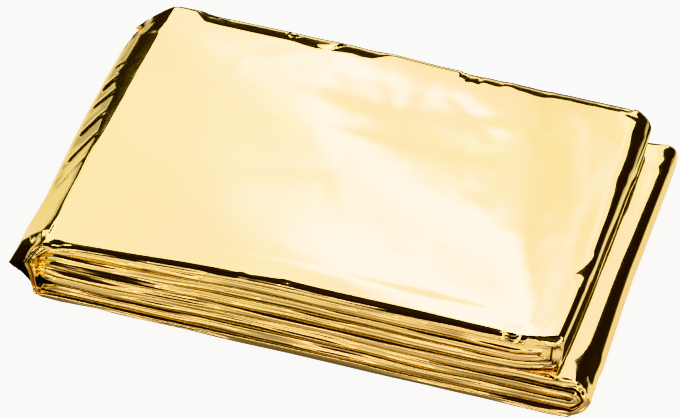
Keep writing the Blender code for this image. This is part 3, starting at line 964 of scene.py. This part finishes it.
def polyester_film(settings):
    """Polyester film, metallised with aluminium and lacquered gold.

    Vapour-deposited metal under clear film gives a mirror with a clear coat. The gold
    is a lacquer, a little deeper where it lies thicker, and folding has crinkled it.
    """
    material = bpy.data.materials.new("gold_metallised_polyester")
    material.use_nodes = True
    tree = material.node_tree
    shader = tree.nodes["Principled BSDF"]
    shader.inputs["Metallic"].default_value = 1.0
    shader.inputs["Roughness"].default_value = 0.11
    shader.inputs["Coat Weight"].default_value = 0.5
    shader.inputs["Coat IOR"].default_value = 1.64
    shader.inputs["Coat Roughness"].default_value = 0.03
    shader.inputs["Specular Tint"].default_value = linear("#F6E2B0")
    place = add_node(tree, "ShaderNodeTexCoord")
    tone = add_node(tree, "ShaderNodeTexNoise", {},
                    {"Scale": 1 / TONE_LENGTH, "Detail": 2.0, "Vector": (place, "Object")})
    lacquer = add_node(tree, "ShaderNodeValToRGB", {}, {"Fac": (tone, "Fac")})
    lacquer.color_ramp.elements[0].position = 0.35
    lacquer.color_ramp.elements[0].color = settings.thick_lacquer
    lacquer.color_ramp.elements[1].position = 0.65
    lacquer.color_ramp.elements[1].color = settings.thin_lacquer
    tree.links.new(lacquer.outputs["Color"], shader.inputs["Base Color"])
    crinkle = add_node(tree, "ShaderNodeTexNoise", {},
                       {"Scale": 1 / CRINKLE_LENGTH, "Detail": 3.0, "Vector": (place, "Object")})
    bump = add_node(tree, "ShaderNodeBump", {},
                    {"Strength": 0.25, "Distance": settings.crinkle_height, "Height": (crinkle, "Fac")})
    tree.links.new(bump.outputs["Normal"], shader.inputs["Normal"])
    tree.links.new(bump.outputs["Normal"], shader.inputs["Coat Normal"])
    return material


class FilmSettings(bpy.types.PropertyGroup):
    """Sizes of the film that the packet is folded from."""

    thickness: FloatProperty(
        name="Film thickness", description="Thickness of the modelled film",
        default=0.00008, min=0.00001, unit="LENGTH",
    )
    crinkle_height: FloatProperty(
        name="Crinkle height", description="Height of the fine crinkle all over the film",
        default=0.00006, min=0.0, unit="LENGTH",
    )
    thick_lacquer: FloatVectorProperty(
        name="Thick lacquer", description="Gold of the film where its lacquer lies thicker",
        default=linear("#F6DC82"), size=4, min=0.0, max=1.0, subtype="COLOR",
    )
    thin_lacquer: FloatVectorProperty(
        name="Thin lacquer", description="Gold of the film where its lacquer lies thinner",
        default=linear("#FADA88"), size=4, min=0.0, max=1.0, subtype="COLOR",
    )


class StageSettings(bpy.types.PropertyGroup):
    """Floor, light and camera."""

    floor_size: FloatProperty(
        name="Floor size", description="Side of the pale floor", default=8.0, unit="LENGTH",
    )
    floor_colour: FloatVectorProperty(
        name="Floor colour", description="Colour of the pale floor",
        default=linear("#BFBFBD"), size=4, min=0.0, max=1.0, subtype="COLOR",
    )
    camera_azimuth: FloatProperty(
        name="Camera azimuth", description="Turn of the camera round the packet, from its front",
        default=math.radians(13.95), subtype="ANGLE",
    )
    camera_elevation: FloatProperty(
        name="Camera elevation", description="Height of the camera over the horizon",
        default=math.radians(39.46), subtype="ANGLE",
    )
    camera_roll: FloatProperty(
        name="Camera roll", description="Turn of the camera about its own axis",
        default=math.radians(3.5), subtype="ANGLE",
    )
    camera_distance: FloatProperty(
        name="Camera distance", description="From the camera to the packet",
        default=0.6864, unit="LENGTH",
    )


def grid_place(co, columns, rows):
    """Column and row of the fine grid at a place on the unfolded sheet."""
    return round((co.x + 0.5) * columns * FINE), round((co.y + 0.5) * rows * FINE)


class FOIL_OT_fold_sheet(bpy.types.Operator):
    """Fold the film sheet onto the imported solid's folds"""

    bl_idname = "foil.fold_sheet"
    bl_label = "Fold Film Sheet"

    def execute(self, context):
        settings = context.scene.foil_film
        points, zones = film_points()
        columns, rows = ((n - 1) // FINE for n in points.shape[:2])
        bm = bmesh.new()
        bmesh.ops.create_grid(bm, x_segments=columns, y_segments=rows, size=0.5, calc_uvs=True)
        for zone in zones:
            edges = set()
            for face in bm.faces:
                i, j = grid_place(face.calc_center_median(), columns, rows)
                if zone[i, j]:
                    edges.update(face.edges)
            bmesh.ops.subdivide_edges(bm, edges=list(edges), cuts=1, use_grid_fill=True)
        for vert in bm.verts:
            vert.co = points[grid_place(vert.co, columns, rows)]
        mesh = bpy.data.meshes.new("film_sheet")
        bm.to_mesh(mesh)
        bm.free()
        mesh.shade_smooth()
        sheet = bpy.data.objects.new("film_sheet", mesh)
        context.scene.collection.objects.link(sheet)
        mesh.materials.append(polyester_film(settings))
        wall = sheet.modifiers.new("film", "SOLIDIFY")
        wall.thickness = settings.thickness
        wall.offset = -1.0
        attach(sheet, "root")
        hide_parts("foil_sheet")
        return {"FINISHED"}


# Glowing panels that only the film's reflections see, by direction in degrees: azimuth 0
# is to the back and 90 to the right, elevation is above the floor.
# Name, azimuth from and to, elevation from and to, glow, glow of the bright patch, colour
PANELS = (
    ("back_softbox", -44.0, 15.0, 28.0, 56.0, 3.4, 28.0, "#FFFFFF"),
    ("back_strip", -22.0, 22.0, 1.0, 6.0, 2.2, 2.2, "#FFFFFF"),
    ("far_left_strip", -112.0, -74.0, 1.0, 6.5, 2.2, 2.2, "#FFFFFF"),
    ("front_strip", 150.0, 207.0, 2.0, 6.0, 8.4, 8.4, "#FFF4EA"),
    # The next panel is no lamp: its glow is painted light, the lit boards in front as the film mirrors them
    ("front_boards_painted_glow", 150.0, 215.0, 9.0, 20.0, 0.8, 0.8, "#FFE4ED"),
    ("left_strip", -75.0, -25.0, 0.4, 1.6, 2.0, 2.0, "#FFFFFF"),
    ("left_softbox", -61.0, -47.0, 20.0, 34.0, 3.4, 3.4, "#FFFFFF"),
    ("left_fill", -47.0, -43.5, 22.0, 30.0, 1.1, 1.1, "#FFFFFF"),
    ("front_right_softbox", 115.0, 155.0, 8.0, 26.0, 6.0, 6.0, "#FFFFFF"),
    ("right_softbox", 70.0, 110.0, 20.0, 50.0, 5.0, 5.0, "#FFFFFF"),
)
PANEL_DISTANCE = 1.6                  # metres from the packet
# Where the bright patch starts and is full: azimuth from its left and from its right, then
# elevation from below
BRIGHT_PATCH = ((-26.0, -11.0), (-7.5, -12.5), (30.0, 42.0))
PATCH_LEAN = 0.8                      # degrees to the right for each degree up
PATCH_LEVEL = 38.0                    # the elevation that those azimuths are for
# How bright the panels are from left to right: azimuth, and share of twice their glow
SOFTBOX_SHADE = (
    (-44.0, 0.5), (-26.0, 0.5), (-21.5, 0.7), (-17.5, 0.7), (-14.0, 0.5), (-6.6, 0.5),
    (-5.2, 0.28), (-3.4, 0.25), (-2.6, 0.6), (-1.6, 1.0), (0.6, 1.0), (1.4, 0.5),
)
SHADE_RANGE = (-50.0, 10.0)           # azimuths at the two ends of the shade's ramp
# Black cards of painted shade behind the packet and at its front left corner, which cast no shadow and show
# only as dark patches in the film's reflections: two opposite corners in metres
PAINTED_SHADE_CARDS = (
    ("back_card", (-0.110, 0.072, 0.0002), (0.110, 0.400, 0.0006)),
    ("upright_card", (-0.0885, -0.080, 0.0002), (-0.088, -0.038, 0.016)),
    ("lying_card", (-0.088, -0.080, 0.0002), (-0.066, -0.040, 0.0006)),
)

FLOOR_LIGHT = 1.6                     # glow of the floor from below
BACKDROP_GLOW = 1.9                   # glow of the backdrop behind it
ROOM_GLOW = 1.0                       # glow of the dim room that the film mirrors

# How the film sees the floor, in metres: painted light and shade that only its reflections show
FLOOR_GLOW = 1.2                      # its painted glow near the packet, a painted pool of light
FAR_FLOOR_GLOW = 0.6                  # its painted glow far off, where that pool of light has faded
FAR_FLOOR = (0.06, 0.14)              # where the far floor starts, and is full
FOOTPRINT = (0.066, 0.048)            # half the packet's length and depth
CONTACT_REACH = 0.004                 # how far the painted shadow round the packet reaches
FRONT_SHADE = 0.72                    # how much darker the painted shadow makes the floor close in front
FRONT_SHADE_REACH = 0.018             # how far that reaches
FRONT_SHADE_START = (0.044, 0.052)    # where it sets in, in front of the packet's middle


def direction(azimuth, elevation):
    """Unit vector from the packet; azimuth 0 is to the back and 90 to the right."""
    return Vector((
        math.sin(azimuth) * math.cos(elevation),
        math.cos(azimuth) * math.cos(elevation),
        math.sin(elevation),
    ))


def stage_piece(scene, name, bm, material):
    """Make an object of the stage from a bmesh, which is used up."""
    mesh = bpy.data.meshes.new(name)
    bm.to_mesh(mesh)
    bm.free()
    mesh.materials.append(material)
    piece = bpy.data.objects.new(name, mesh)
    scene.collection.objects.link(piece)
    return piece


def show_only_in_reflections(piece):
    """Hide a piece of the stage from the camera, and keep it from lighting the floor."""
    piece.visible_camera = False
    piece.visible_diffuse = False
    piece.visible_shadow = False


def bright_patch(tree, axes):
    """How much of the bright patch is at a direction, from 0 to 1."""
    up = add_node(tree, "ShaderNodeMath", {"operation": "SUBTRACT"}, {0: (axes, "Y"), 1: PATCH_LEVEL / 360})
    lean = add_node(tree, "ShaderNodeMath", {"operation": "MULTIPLY"}, {0: (up, "Value"), 1: -PATCH_LEAN})
    across = add_node(tree, "ShaderNodeMath", {"operation": "ADD"}, {0: (axes, "X"), 1: (lean, "Value")})
    places = ((across, "Value"), (across, "Value"), (axes, "Y"))
    parts = [add_node(tree, "ShaderNodeMapRange", {"interpolation_type": "SMOOTHSTEP"},
                      {"Value": source, "From Min": start / 360, "From Max": full / 360})
             for source, (start, full) in zip(places, BRIGHT_PATCH, strict=True)]
    share = (parts[0], "Result")
    for part in parts[1:]:
        both = add_node(tree, "ShaderNodeMath", {"operation": "MULTIPLY"}, {0: share, 1: (part, "Result")})
        share = (both, "Value")
    return add_node(tree, "ShaderNodeMath", {"operation": "POWER"}, {0: share, 1: 2.0})


def side_shade(tree, axes):
    """The panels' brightness from left to right, as a share of twice their glow."""
    first, last = SHADE_RANGE
    turn = add_node(tree, "ShaderNodeMapRange", {},
                    {"Value": (axes, "X"), "From Min": first / 360, "From Max": last / 360})
    shade = add_node(tree, "ShaderNodeValToRGB", {}, {"Fac": (turn, "Result")})
    stops = shade.color_ramp.elements
    stops.remove(stops[1])
    stops[0].position = (SOFTBOX_SHADE[0][0] - first) / (last - first)
    for index, (azimuth, value) in enumerate(SOFTBOX_SHADE):
        stop = stops[0] if index == 0 else stops.new((azimuth - first) / (last - first))
        stop.color = (value, value, value, 1.0)
    return shade


def softbox_cloth(name, glow, patch_glow, colour):
    """A softbox's white cloth, with a bright patch where its lamp is.

    It doesn't glow to rays that have met a matt surface, so the floor has no bright spots.
    """
    material = bpy.data.materials.new(name)
    material.use_nodes = True
    tree = material.node_tree
    tree.nodes.clear()
    place = add_node(tree, "ShaderNodeUVMap", {"uv_map": "direction"})
    axes = add_node(tree, "ShaderNodeSeparateXYZ", {}, {"Vector": (place, "UV")})
    patch = bright_patch(tree, axes)
    extra = add_node(tree, "ShaderNodeMath", {"operation": "MULTIPLY"},
                     {0: (patch, "Value"), 1: patch_glow - glow})
    shade = side_shade(tree, axes)
    base = add_node(tree, "ShaderNodeMath", {"operation": "MULTIPLY"}, {0: (shade, "Color"), 1: 2 * glow})
    level = add_node(tree, "ShaderNodeMath", {"operation": "ADD"}, {0: (extra, "Value"), 1: (base, "Value")})
    path = add_node(tree, "ShaderNodeLightPath")
    direct = add_node(tree, "ShaderNodeMath", {"operation": "LESS_THAN"},
                      {0: (path, "Diffuse Depth"), 1: 0.5})
    strength = add_node(tree, "ShaderNodeMath", {"operation": "MULTIPLY"},
                        {0: (level, "Value"), 1: (direct, "Value")})
    shine = add_node(tree, "ShaderNodeEmission", {},
                     {"Color": linear(colour), "Strength": (strength, "Value")})
    add_node(tree, "ShaderNodeOutputMaterial", {}, {"Surface": (shine, "Emission")})
    return material


def add_panel(scene, name, az_from, az_to, el_from, el_to, glow, patch_glow, colour):
    """A curved glowing panel that faces the packet and shows only in its reflections."""
    bm = bmesh.new()
    bmesh.ops.create_grid(bm, x_segments=16, y_segments=8, size=0.5, calc_uvs=False)
    uv_layer = bm.loops.layers.uv.new("direction")
    for face in bm.faces:
        for loop in face.loops:
            azimuth = az_from + (az_to - az_from) * (loop.vert.co.x + 0.5)
            elevation = el_from + (el_to - el_from) * (loop.vert.co.y + 0.5)
            loop[uv_layer].uv = (azimuth / 360, elevation / 360)
    for vert in bm.verts:
        azimuth = math.radians(az_from + (az_to - az_from) * (vert.co.x + 0.5))
        elevation = math.radians(el_from + (el_to - el_from) * (vert.co.y + 0.5))
        vert.co = direction(azimuth, elevation) * PANEL_DISTANCE
    panel = stage_piece(scene, name, bm, softbox_cloth(name, glow, patch_glow, colour))
    show_only_in_reflections(panel)


def away_from_packet(tree, axes):
    """Distance on the floor from the packet's footprint."""
    squares = []
    for axis, half in zip("XY", FOOTPRINT, strict=True):
        away = add_node(tree, "ShaderNodeMath", {"operation": "ABSOLUTE"}, {0: (axes, axis)})
        beyond = add_node(tree, "ShaderNodeMath", {"operation": "SUBTRACT"}, {0: (away, "Value"), 1: half})
        outside = add_node(tree, "ShaderNodeMath", {"operation": "MAXIMUM"}, {0: (beyond, "Value"), 1: 0.0})
        square = add_node(tree, "ShaderNodeMath", {"operation": "POWER"}, {0: (outside, "Value"), 1: 2.0})
        squares.append(square)
    total = add_node(tree, "ShaderNodeMath", {"operation": "ADD"},
                     {0: (squares[0], "Value"), 1: (squares[1], "Value")})
    return add_node(tree, "ShaderNodeMath", {"operation": "SQRT"}, {0: (total, "Value")})


def fall_off(tree, distance, reach):
    """1 at a distance of 0, and ever less past it, at a rate set by the reach."""
    ratio = add_node(tree, "ShaderNodeMath", {"operation": "MULTIPLY"},
                     {0: (distance, "Value"), 1: -1 / reach})
    return add_node(tree, "ShaderNodeMath", {"operation": "EXPONENT"}, {0: (ratio, "Value")})


def front_shade(tree, axes):
    """How much of the painted shadow in front of the packet is at a place of the floor, from 0 to 1."""
    ahead = add_node(tree, "ShaderNodeMath", {"operation": "MULTIPLY"}, {0: (axes, "Y"), 1: -1.0})
    start, full = FRONT_SHADE_START
    in_front = add_node(tree, "ShaderNodeMapRange", {"interpolation_type": "SMOOTHSTEP"},
                        {"Value": (ahead, "Value"), "From Min": start, "From Max": full})
    gap = add_node(tree, "ShaderNodeMath", {"operation": "SUBTRACT"}, {0: (ahead, "Value"), 1: FOOTPRINT[1]})
    near = fall_off(tree, gap, FRONT_SHADE_REACH)
    return add_node(tree, "ShaderNodeMath", {"operation": "MULTIPLY"},
                    {0: (near, "Value"), 1: (in_front, "Result")})


def white_acrylic(colour):
    """Pale matt acrylic, lit from below as on a light table.

    The film mirrors it with painted shadow where the packet keeps the light off it, round it and in front,
    and a painted pool of light that dims far away.
    """
    material = bpy.data.materials.new("white_acrylic")
    material.use_nodes = True
    tree = material.node_tree
    shader = tree.nodes["Principled BSDF"]
    shader.inputs["Base Color"].default_value = colour
    shader.inputs["Roughness"].default_value = 0.6
    shader.inputs["Specular IOR Level"].default_value = 0.0
    shader.inputs["Emission Color"].default_value = linear("#FFFFFF")
    shader.inputs["Emission Strength"].default_value = FLOOR_LIGHT
    place = add_node(tree, "ShaderNodeTexCoord")
    axes = add_node(tree, "ShaderNodeSeparateXYZ", {}, {"Vector": (place, "Object")})
    distance = away_from_packet(tree, axes)
    # painted shadow of the packet on the floor, close round its footprint
    painted_contact_shadow = fall_off(tree, distance, CONTACT_REACH)
    open_share = add_node(tree, "ShaderNodeMath", {"operation": "SUBTRACT"}, {0: 1.0, 1: (painted_contact_shadow, "Value")})
    near_level = add_node(tree, "ShaderNodeMath", {"operation": "MULTIPLY"},
                          {0: (open_share, "Value"), 1: FLOOR_GLOW})
    # painted pool of light: the mirrored floor dims far from the packet
    start, full = FAR_FLOOR
    far = add_node(tree, "ShaderNodeMapRange", {"interpolation_type": "SMOOTHSTEP"},
                   {"Value": (distance, "Value"), "From Min": start, "From Max": full})
    lost = add_node(tree, "ShaderNodeMath", {"operation": "MULTIPLY"},
                    {0: (far, "Result"), 1: FLOOR_GLOW - FAR_FLOOR_GLOW})
    level = add_node(tree, "ShaderNodeMath", {"operation": "SUBTRACT"},
                     {0: (near_level, "Value"), 1: (lost, "Value")})
    # painted shadow of the packet in front of it, tinted pink
    shade = front_shade(tree, axes)
    painted_shade_tint = add_node(tree, "ShaderNodeValToRGB", {}, {"Fac": (shade, "Value")})
    painted_shade_tint.color_ramp.elements[0].color = linear("#FFFFFF")
    painted_shade_tint.color_ramp.elements[1].color = linear("#FFE4ED")
    loss = add_node(tree, "ShaderNodeMath", {"operation": "MULTIPLY"}, {0: (shade, "Value"), 1: -FRONT_SHADE})
    kept = add_node(tree, "ShaderNodeMath", {"operation": "ADD"}, {0: (loss, "Value"), 1: 1.0})
    level = add_node(tree, "ShaderNodeMath", {"operation": "MULTIPLY"},
                     {0: (level, "Value"), 1: (kept, "Value")})
    # the floor as the film mirrors it, with its painted light and shade
    mirrored = add_node(tree, "ShaderNodeEmission", {},
                        {"Color": (painted_shade_tint, "Color"), "Strength": (level, "Value")})
    path = add_node(tree, "ShaderNodeLightPath")
    mix = add_node(tree, "ShaderNodeMixShader", {},
                   {"Fac": (path, "Is Glossy Ray"), 1: (shader, "BSDF"), 2: (mirrored, "Emission")})
    tree.links.new(mix.outputs["Shader"], tree.nodes["Material Output"].inputs["Surface"])
    return material


def add_card(scene, name, low, high):
    """A black card of painted shade, which only the film's reflections see."""
    bm = bmesh.new()
    bmesh.ops.create_cube(bm, size=1.0)
    low, high = Vector(low), Vector(high)
    bmesh.ops.scale(bm, vec=high - low, verts=bm.verts)
    bmesh.ops.translate(bm, vec=(low + high) / 2, verts=bm.verts)
    show_only_in_reflections(stage_piece(scene, name, bm, painted_shade_card()))


def painted_shade_card():
    """Matt black card of painted shade: it sends back next to nothing, so the film mirrors a dark patch."""
    material = bpy.data.materials.new("painted_shade_card")
    material.use_nodes = True
    shader = material.node_tree.nodes["Principled BSDF"]
    shader.inputs["Base Color"].default_value = linear("#1A100C")
    shader.inputs["Roughness"].default_value = 0.9
    shader.inputs["Specular IOR Level"].default_value = 0.0
    return material


def add_world(scene):
    """A pale backdrop for the camera; the film mirrors a dim room."""
    world = bpy.data.worlds.new("studio")
    world.use_nodes = True
    tree = world.node_tree
    tree.nodes.clear()
    path = add_node(tree, "ShaderNodeLightPath")
    room = add_node(tree, "ShaderNodeBackground", {}, {"Color": linear("#20130E"), "Strength": ROOM_GLOW})
    pale = add_node(tree, "ShaderNodeBackground", {},
                    {"Color": linear("#FFFFFF"), "Strength": BACKDROP_GLOW})
    mix = add_node(tree, "ShaderNodeMixShader", {},
                   {"Fac": (path, "Is Camera Ray"), 1: (room, "Background"), 2: (pale, "Background")})
    add_node(tree, "ShaderNodeOutputWorld", {}, {"Surface": (mix, "Shader")})
    scene.world = world


SKY_ENERGY = 1.4
SKY_ANGLE = math.radians(70)          # how wide the light is: the wider, the softer
SKY_TURN = (math.radians(-12), math.radians(8), 0.0)
SENSOR_WIDTH = 36.0
LENS = 147.65
CAMERA_AIM = (-0.97, -4.99, 10.0)     # the point it looks at


def add_sky_light(scene):
    """One very soft light from overhead, which the film doesn't mirror."""
    light = bpy.data.lights.new("overhead", "SUN")
    light.energy = SKY_ENERGY
    light.angle = SKY_ANGLE
    lamp = bpy.data.objects.new("overhead", light)
    lamp.visible_glossy = False
    lamp.rotation_euler = SKY_TURN
    scene.collection.objects.link(lamp)


def add_camera(scene, settings):
    """A long lens from the front right, looking down on the packet."""
    data = bpy.data.cameras.new("camera")
    data.sensor_width = SENSOR_WIDTH
    data.lens = LENS
    camera = bpy.data.objects.new("camera", data)
    scene.collection.objects.link(camera)
    towards = direction(math.pi - settings.camera_azimuth, settings.camera_elevation)
    camera.location = Vector(CAMERA_AIM) * MM + towards * settings.camera_distance
    look = towards.to_track_quat("Z", "Y")
    roll = Matrix.Rotation(settings.camera_roll, 4, "Z").to_quaternion()
    camera.rotation_euler = (look @ roll).to_euler()
    data.clip_end = 20.0
    bpy.context.scene.camera = camera


class FOIL_OT_set_stage(bpy.types.Operator):
    """Add the pale floor, the soft light and the camera"""

    bl_idname = "foil.set_stage"
    bl_label = "Set Stage"

    def execute(self, context):
        scene = context.scene
        settings = scene.foil_stage
        bm = bmesh.new()
        bmesh.ops.create_grid(bm, x_segments=4, y_segments=4, size=settings.floor_size / 2)
        stage_piece(scene, "floor", bm, white_acrylic(settings.floor_colour))
        for row in PANELS:
            add_panel(scene, *row)
        # cards of painted shade, seen only in the film's reflections
        for row in PAINTED_SHADE_CARDS:
            add_card(scene, *row)
        add_world(scene)
        add_sky_light(scene)
        add_camera(scene, settings)
        scene.view_settings.view_transform = "Khronos PBR Neutral"
        return {"FINISHED"}


class FOIL_PT_panel(bpy.types.Panel):
    """The blanket's operators and settings"""

    bl_label = "Foil Blanket"
    bl_idname = "FOIL_PT_panel"
    bl_space_type = "VIEW_3D"
    bl_region_type = "UI"
    bl_category = "Foil Blanket"

    def draw(self, context):
        layout = self.layout
        film = context.scene.foil_film
        layout.prop(film, "thickness")
        layout.prop(film, "crinkle_height")
        layout.prop(film, "thick_lacquer")
        layout.prop(film, "thin_lacquer")
        layout.operator(FOIL_OT_fold_sheet.bl_idname)
        stage = context.scene.foil_stage
        layout.prop(stage, "floor_size")
        layout.prop(stage, "floor_colour")
        layout.prop(stage, "camera_azimuth")
        layout.prop(stage, "camera_elevation")
        layout.prop(stage, "camera_roll")
        layout.prop(stage, "camera_distance")
        layout.operator(FOIL_OT_set_stage.bl_idname)


CLASSES = (FilmSettings, StageSettings, FOIL_OT_fold_sheet, FOIL_OT_set_stage, FOIL_PT_panel)


def register():
    for cls in CLASSES:
        bpy.utils.register_class(cls)
    bpy.types.Scene.foil_film = PointerProperty(type=FilmSettings)
    bpy.types.Scene.foil_stage = PointerProperty(type=StageSettings)


def unregister():
    del bpy.types.Scene.foil_stage
    del bpy.types.Scene.foil_film
    for cls in reversed(CLASSES):
        bpy.utils.unregister_class(cls)


def main():
    """Register the add-on and make everything in order."""
    register()
    bpy.ops.foil.set_stage()
    bpy.ops.foil.fold_sheet()


if __name__ == "__main__":
    main()
